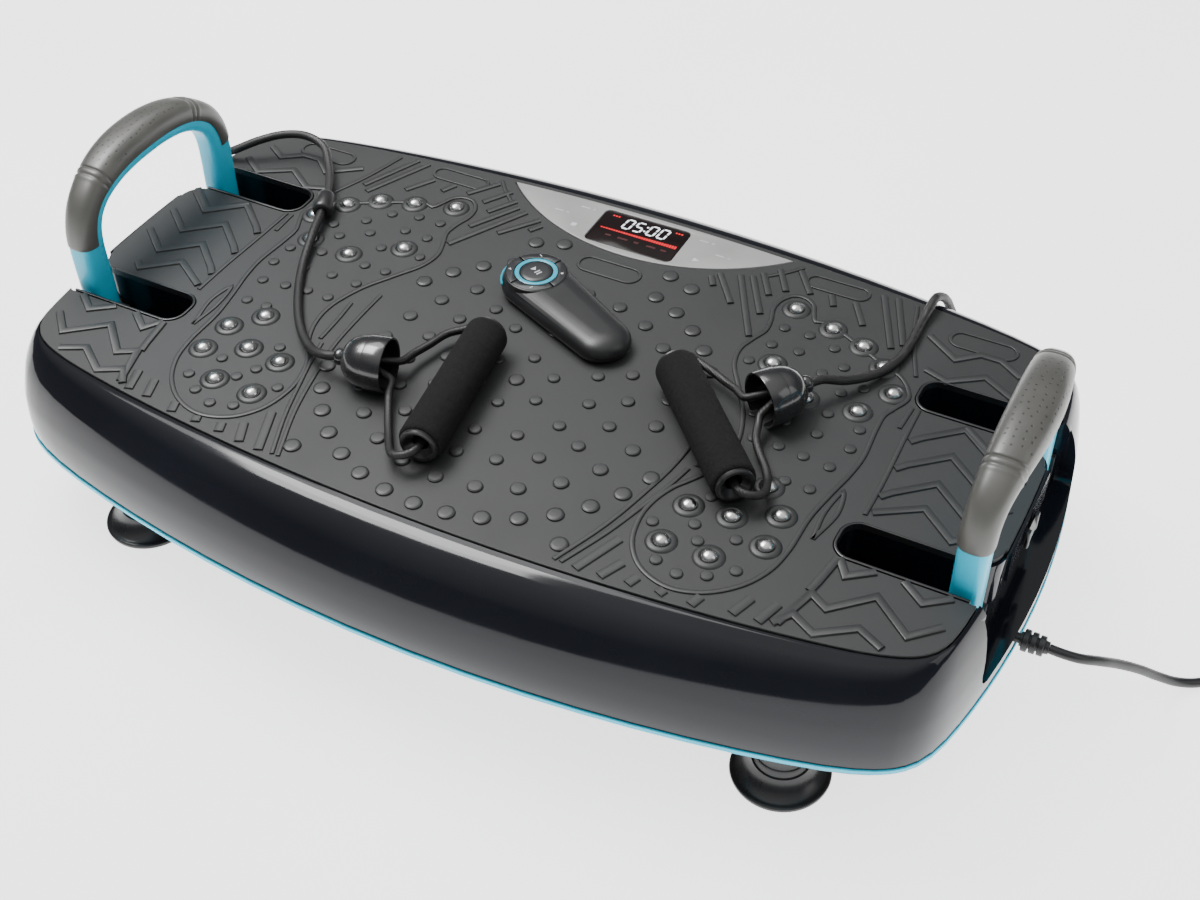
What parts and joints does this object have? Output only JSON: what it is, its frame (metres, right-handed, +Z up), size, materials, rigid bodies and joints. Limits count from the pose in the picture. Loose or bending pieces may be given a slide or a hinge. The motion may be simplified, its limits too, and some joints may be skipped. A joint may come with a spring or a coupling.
{
  "type": "vibration plate",
  "caption": "Oblong fitness plate with a relief-moulded tread, folding end grips, elastic hand bands, a hand remote and an eccentric drive inside.",
  "frame": {"origin": "on the floor, at the middle of the plate", "axes": "+X towards the user's right-hand end, where the mains lead leaves; +Y towards the display; +Z up from the floor"},
  "size_m": [1.0166, 0.4768, 0.247],
  "materials": {
    "cover_gloss": "deep gloss black moulding",
    "pan_black": "fine textured satin black",
    "trim_cyan": "satin cyan band",
    "tread_rubber": "moulded grey rubber with relief",
    "panel_silver": "silver lacquer, satin",
    "window_dark": "smoked glossy window",
    "circuit_board": "solder resist green",
    "bright_steel": "ground steel",
    "dark_casting": "bare casting",
    "belt_rubber": "ribbed drive belt",
    "foot_rubber": "satin black rubber",
    "handle_cyan": "satin cyan powder coat",
    "grip_rubber": "matt warm grey rubber",
    "block_black": "natural black acetal",
    "catch_grey": "light grey moulding",
    "remote_grey": "satin grey shell",
    "key_rubber": "soft black keys",
    "band_black": "woven black sleeve over elastic",
    "bell_gloss": "gloss black moulding",
    "foam_black": "closed cell black foam",
    "cord_black": "soft black cable jacket"
  },
  "bodies": {
    "base": {"upper_cover": "cover_gloss", "base_pan": "pan_black", "trim_band": "trim_cyan", "deck_mat": "tread_rubber", "display_panel": "panel_silver", "display_window": "window_dark", "control_board": "circuit_board", "power_board": "circuit_board", "motor_body": "bright_steel", "motor_bracket": "dark_casting", "drive_belt": "belt_rubber", "left_band_slider": "block_black", "strain_relief": "cord_black", "power_cord": "cord_black", "power_coil": "cord_black", "power_plug": "pan_black", "bearing_block_left": "dark_casting", "left_handle_catch": "catch_grey", "left_front_foot": "foot_rubber", "left_rear_foot": "foot_rubber", "left_band_cord": "band_black", "left_band_loop": "band_black", "left_band_bell": "bell_gloss", "left_band_foam": "foam_black", "left_band_core": "block_black", "bearing_block_right": "dark_casting", "right_handle_catch": "catch_grey", "right_front_foot": "foot_rubber", "right_rear_foot": "foot_rubber", "right_band_cord": "band_black", "right_band_loop": "band_black", "right_band_bell": "bell_gloss", "right_band_foam": "foam_black", "right_band_core": "block_black"},
    "remote": {"remote_base": "remote_grey", "remote_top": "remote_grey"},
    "remote_centre_key": {"remote_centre_key": "key_rubber"},
    "rotor": {"motor_shaft": "bright_steel"},
    "eccentric": {"eccentric_shaft": "bright_steel", "shaft_pulley": "dark_casting", "flyweight_left": "dark_casting", "flyweight_right": "dark_casting"},
    "remote_ring_key_1": {"remote_ring_key_1": "key_rubber"},
    "remote_ring_key_2": {"remote_ring_key_2": "key_rubber"},
    "remote_ring_key_3": {"remote_ring_key_3": "key_rubber"},
    "remote_ring_key_4": {"remote_ring_key_4": "key_rubber"},
    "left_carriage": {"left_front_slide_block": "block_black", "left_rear_slide_block": "block_black", "left_front_pivot_pin": "bright_steel", "left_rear_pivot_pin": "bright_steel"},
    "left_handle": {"left_handle_frame": "handle_cyan", "left_handle_grip": "grip_rubber"},
    "right_carriage": {"right_front_slide_block": "block_black", "right_rear_slide_block": "block_black", "right_front_pivot_pin": "bright_steel", "right_rear_pivot_pin": "bright_steel"},
    "right_handle": {"right_handle_frame": "handle_cyan", "right_handle_grip": "grip_rubber"}
  },
  "joints": [
    {"name": "left_carriage_slide", "type": "slide", "parent": "base", "child": "left_carriage", "axis": [1, 0, 0], "range_m": [0, 0.0882]},
    {"name": "left_handle_fold", "type": "hinge", "parent": "left_carriage", "child": "left_handle", "pos_m": [-0.352, 0, 0.109], "axis": [0, -1, 0], "range_deg": [0, 90]},
    {"name": "right_carriage_slide", "type": "slide", "parent": "base", "child": "right_carriage", "axis": [-1, 0, 0], "range_m": [0, 0.0882]},
    {"name": "right_handle_fold", "type": "hinge", "parent": "right_carriage", "child": "right_handle", "pos_m": [0.352, 0, 0.109], "axis": [0, 1, 0], "range_deg": [0, 90]},
    {"name": "remote_lift", "type": "slide", "parent": "base", "child": "remote", "axis": [0, 0, 1], "range_m": [0, 0.12]},
    {"name": "remote_centre_key_press", "type": "slide", "parent": "remote", "child": "remote_centre_key", "axis": [0, 0, -1], "range_m": [0, 0.0008], "stiffness_N_per_m": 700, "springref_m": -0.0004},
    {"name": "remote_ring_key_1_press", "type": "slide", "parent": "remote", "child": "remote_ring_key_1", "axis": [0, 0, -1], "range_m": [0, 0.0008], "stiffness_N_per_m": 700, "springref_m": -0.0004},
    {"name": "remote_ring_key_2_press", "type": "slide", "parent": "remote", "child": "remote_ring_key_2", "axis": [0, 0, -1], "range_m": [0, 0.0008], "stiffness_N_per_m": 700, "springref_m": -0.0004},
    {"name": "remote_ring_key_3_press", "type": "slide", "parent": "remote", "child": "remote_ring_key_3", "axis": [0, 0, -1], "range_m": [0, 0.0008], "stiffness_N_per_m": 700, "springref_m": -0.0004},
    {"name": "remote_ring_key_4_press", "type": "slide", "parent": "remote", "child": "remote_ring_key_4", "axis": [0, 0, -1], "range_m": [0, 0.0008], "stiffness_N_per_m": 700, "springref_m": -0.0004},
    {"name": "eccentric_spin", "type": "hinge", "parent": "base", "child": "eccentric", "pos_m": [0, 0, 0.092], "axis": [1, 0, 0], "continuous": true},
    {"name": "motor_spin", "type": "hinge", "parent": "base", "child": "rotor", "pos_m": [0, -0.092, 0.086], "axis": [1, 0, 0], "continuous": true}
  ],
  "couplings": [
    {"joint": "left_carriage_slide", "follows": "left_handle_fold", "m_per_rad": 0.056023},
    {"joint": "right_carriage_slide", "follows": "right_handle_fold", "m_per_rad": 0.056023},
    {"joint": "motor_spin", "follows": "eccentric_spin", "ratio": 2.5}
  ]
}
